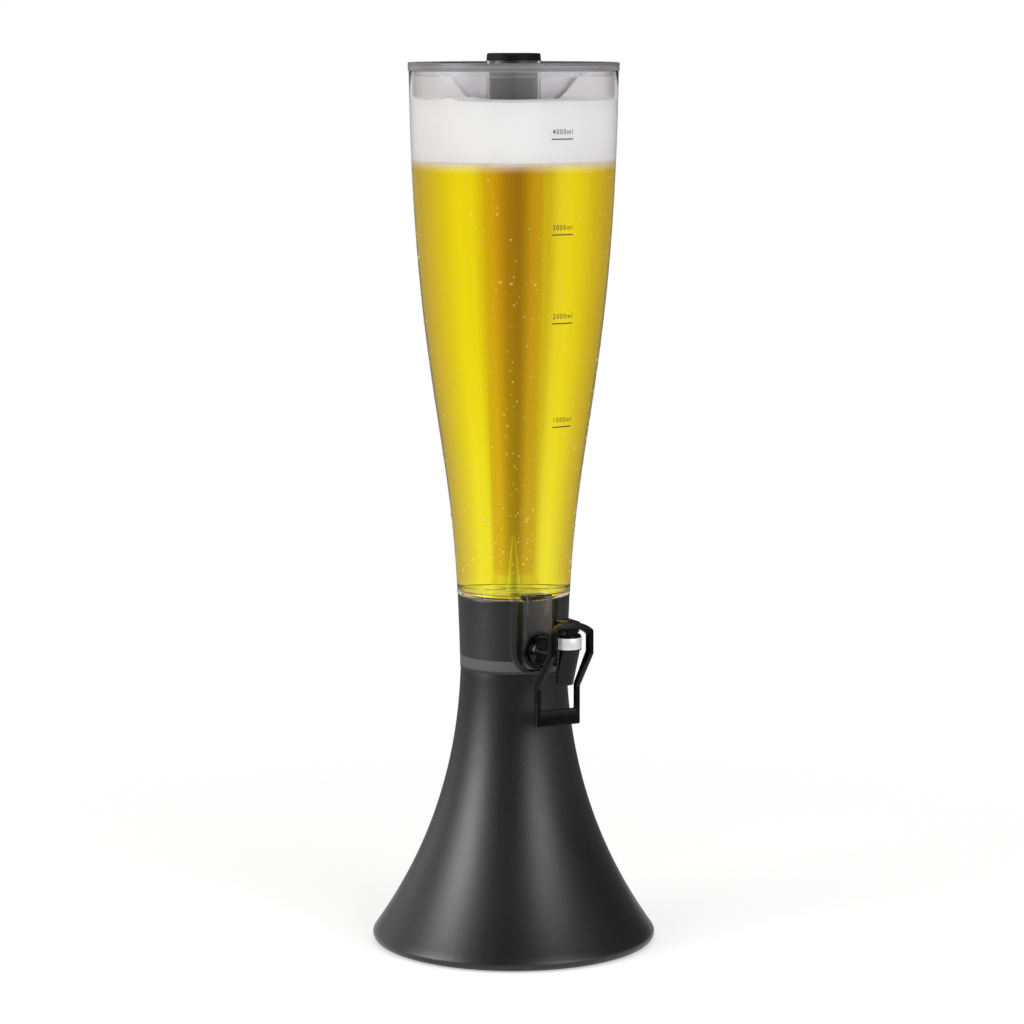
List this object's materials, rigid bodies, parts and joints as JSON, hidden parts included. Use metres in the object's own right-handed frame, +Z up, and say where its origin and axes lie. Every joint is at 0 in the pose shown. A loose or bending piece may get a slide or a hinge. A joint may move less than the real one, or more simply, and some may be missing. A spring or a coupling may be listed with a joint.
{
  "type": "beer tower dispenser",
  "caption": "Tall table drink tower: flared round base, slotted collar, clear flared vessel with an ice tube in a funnel lid, and a push-lever tap.",
  "frame": {"origin": "centre of the base's underside, on the surface that it stands on", "axes": "+Z up along the tower's axis; the tap points along -Y; +X to the right when seen from the tap's side"},
  "size_m": [0.2164, 0.2164, 0.675],
  "materials": {
    "base_black": "fine satin moulded texture",
    "cover_black": "matt moulded plastic",
    "screw_steel": "zinc plated",
    "pad_rubber": "matt rubber",
    "vessel_clear": "polished clear plastic",
    "lid_smoke": "polished smoke tinted clear plastic",
    "tube_clear": "polished clear plastic",
    "cap_black": "satin moulded plastic",
    "tap_black": "polished black plastic",
    "seal_rubber": "smooth black rubber",
    "seal_silicone": "pale silicone rubber",
    "band_chrome": "bright chromed plastic band",
    "stem_plastic": "natural acetal",
    "spring_steel": "stainless wire"
  },
  "bodies": {
    "base": {"base_shell": "base_black", "base_cover": "cover_black", "cover_screws": "screw_steel", "foot_pads": "pad_rubber", "collar": "base_black", "collar_screws": "screw_steel"},
    "vessel": {"vessel_body": "vessel_clear", "vessel_bottom": "vessel_clear", "tap_body": "tap_black", "tap_gasket": "seal_rubber", "nut_gasket": "seal_rubber", "tap_nut": "tap_black", "tap_bonnet": "tap_black", "stem_seal": "seal_silicone", "chrome_band": "band_chrome", "stem_spring": "spring_steel"},
    "stem": {"tap_stem": "stem_plastic", "valve_seal": "seal_silicone"},
    "lever": {"tap_lever": "tap_black", "lever_pin": "screw_steel"},
    "lid": {"lid": "lid_smoke", "ice_tube": "tube_clear"},
    "cap": {"tube_cap": "cap_black", "cap_seal": "seal_rubber"}
  },
  "joints": [
    {"name": "vessel_lift", "type": "slide", "parent": "base", "child": "vessel", "axis": [0, 0, 1], "range_m": [0, 0.07]},
    {"name": "lid_lift", "type": "slide", "parent": "vessel", "child": "lid", "axis": [0, 0, 1], "range_m": [0, 0.4]},
    {"name": "cap_pull", "type": "slide", "parent": "lid", "child": "cap", "axis": [0, 0, 1], "range_m": [0, 0.05]},
    {"name": "stem_lift", "type": "slide", "parent": "vessel", "child": "stem", "axis": [0, 0, 1], "range_m": [0, 0.00181], "deforming": ["stem_spring"]},
    {"name": "lever_press", "type": "hinge", "parent": "stem", "child": "lever", "pos_m": [0, -0.0886, 0.2542], "axis": [1, 0, 0], "range_deg": [0, 15], "stiffness_Nm_per_rad": 0.15, "springref_deg": -11.46}
  ],
  "couplings": [
    {"joint": "stem_lift", "follows": "lever_press", "m_per_rad": 0.006875}
  ]
}
